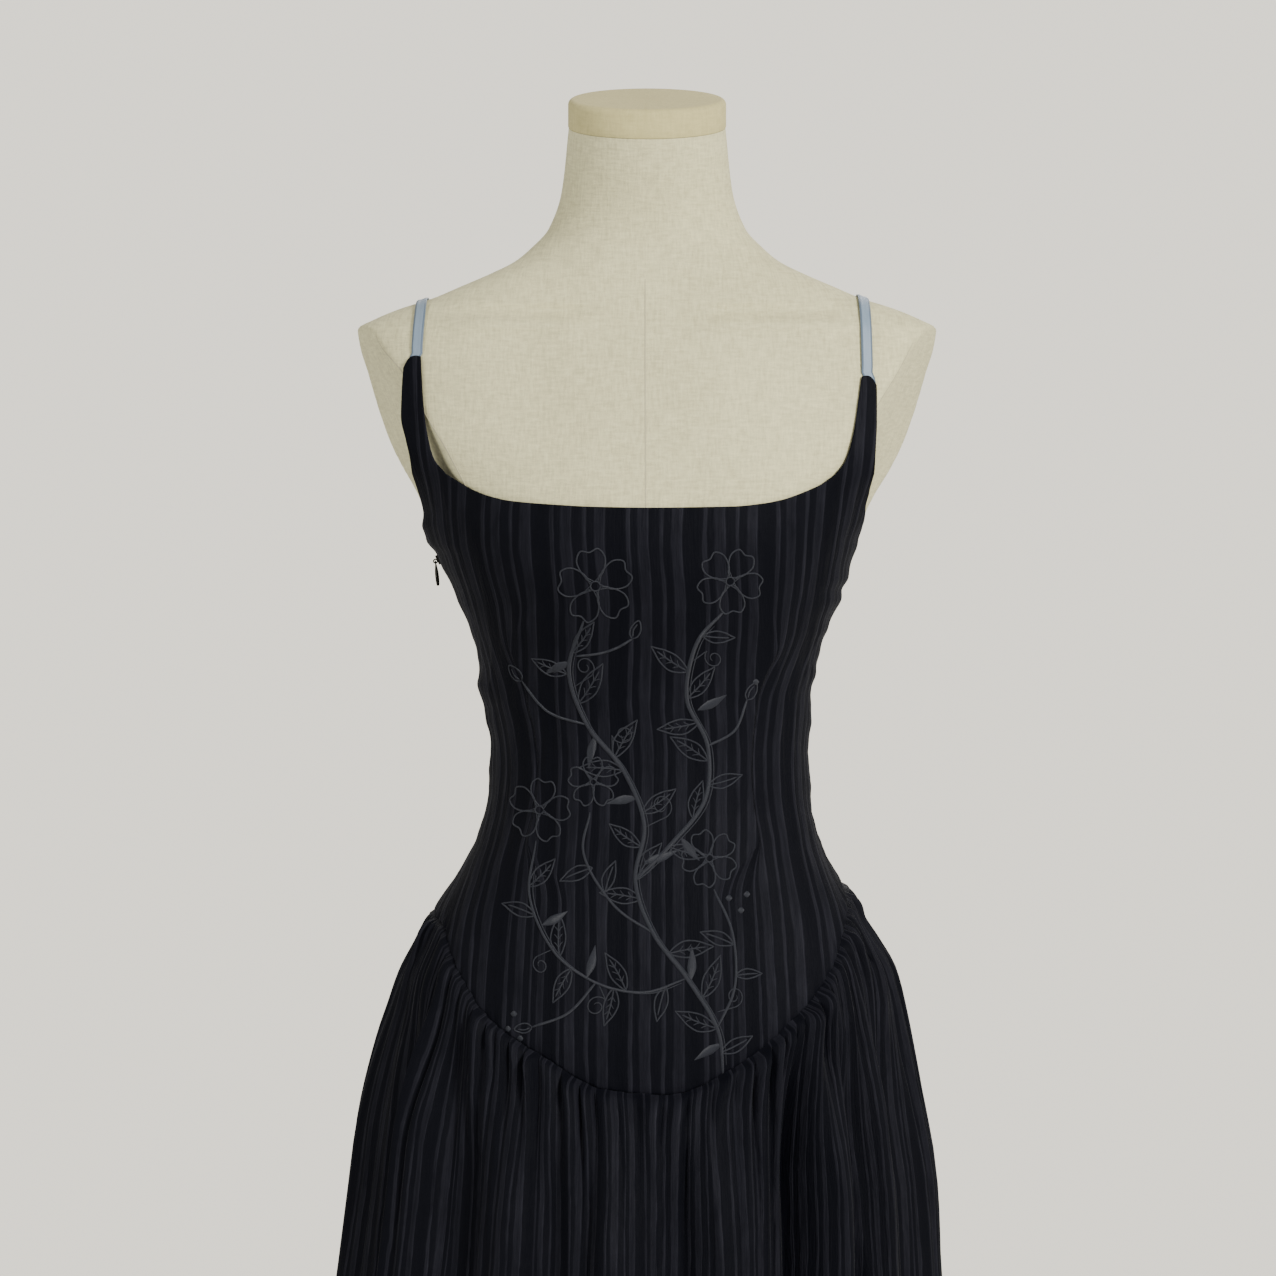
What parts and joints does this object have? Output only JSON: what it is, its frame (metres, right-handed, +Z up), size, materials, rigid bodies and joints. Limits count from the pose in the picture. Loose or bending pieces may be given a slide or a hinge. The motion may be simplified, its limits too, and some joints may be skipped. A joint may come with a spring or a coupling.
{
  "type": "backless maxi dress on a limbless dress form",
  "caption": "Black backless maxi dress, square neckline with tapered strap points, low back and gathered dropped-waist skirt, worn by a limbless dress form on a pole and round base.",
  "frame": {"origin": "on the floor, at the centre of the stand's base", "axes": "+Z up, the front of the dress faces -Y, +X is the wearer's left"},
  "size_m": [0.5591, 0.4976, 1.5009],
  "materials": {
    "dress_cloth": "matt black suiting with a fine tone-on-tone stripe",
    "strap_ribbon": "pale blue flat ribbon",
    "zip_metal": "dark gunmetal",
    "form_linen": "cream linen cover",
    "form_cap": "smooth cream cap",
    "stand_paint": "cream powder coat"
  },
  "bodies": {
    "dress_on_form": {"bodice_front": "dress_cloth", "bodice_back": "dress_cloth", "skirt_front": "dress_cloth", "skirt_back": "dress_cloth", "strap_left": "strap_ribbon", "strap_right": "strap_ribbon", "zip_slider": "zip_metal", "form_torso": "form_linen", "form_neck_cap": "form_cap", "form_pole": "stand_paint", "form_base": "stand_paint"},
    "zip_pull_body": {"zip_pull": "zip_metal"}
  },
  "joints": [
    {"name": "zip_pull_swing", "type": "hinge", "parent": "dress_on_form", "child": "zip_pull_body", "pos_m": [-0.14473, 0, 1.17596], "axis": [0, 1, 0], "range_deg": [-12, 150]}
  ]
}
